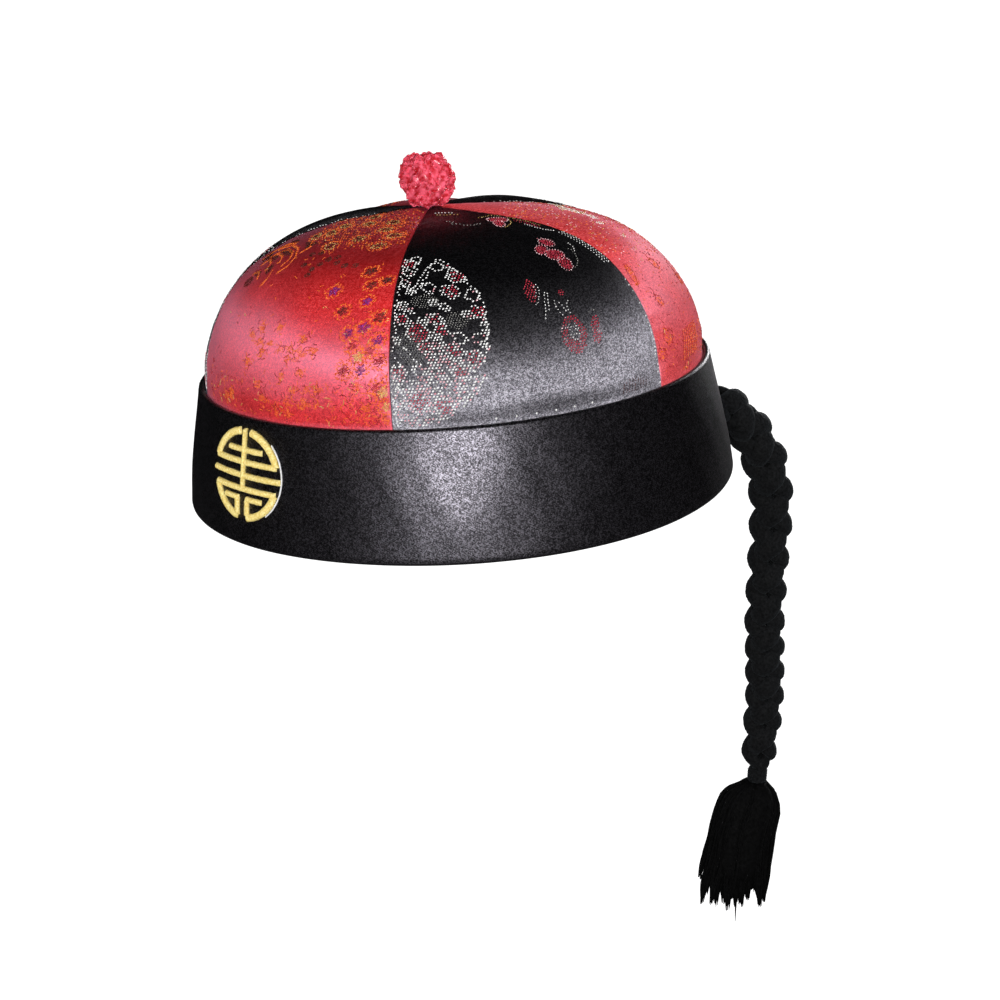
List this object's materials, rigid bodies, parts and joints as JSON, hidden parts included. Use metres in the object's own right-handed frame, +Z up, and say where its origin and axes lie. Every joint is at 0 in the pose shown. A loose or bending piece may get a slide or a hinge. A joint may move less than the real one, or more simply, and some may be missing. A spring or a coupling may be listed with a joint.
{
  "type": "mandarin hat",
  "caption": "Round cap of red and black brocade gores on a flared black satin band, with a knotted button, a gold emblem and a plaited braid ending in a tassel.",
  "frame": {"origin": "centre of the band's lower edge, where a head goes in", "axes": "+Z up through the crown, -Y the front with the emblem, +X the wearer's left; the braid hangs behind, 20 degrees from +Y towards +X"},
  "size_m": [0.1918, 0.2245, 0.325],
  "materials": {
    "red_brocade": "red satin brocade with gold and dark flowers",
    "black_brocade": "black satin brocade with silver and red flowers",
    "band_satin": "black satin",
    "gold_thread": "gold embroidery thread",
    "red_cord": "braided red cord",
    "black_yarn": "plush black yarn"
  },
  "bodies": {
    "root": {"crown_panel_1": "black_brocade", "crown_panel_2": "red_brocade", "crown_panel_3": "black_brocade", "crown_panel_4": "red_brocade", "crown_panel_5": "black_brocade", "crown_panel_6": "red_brocade", "band": "band_satin", "badge": "gold_thread", "crown_button": "red_cord", "braid_base": "black_yarn", "braid": "black_yarn", "braid_tie": "black_yarn", "tassel": "black_yarn"}
  },
  "joints": []
}
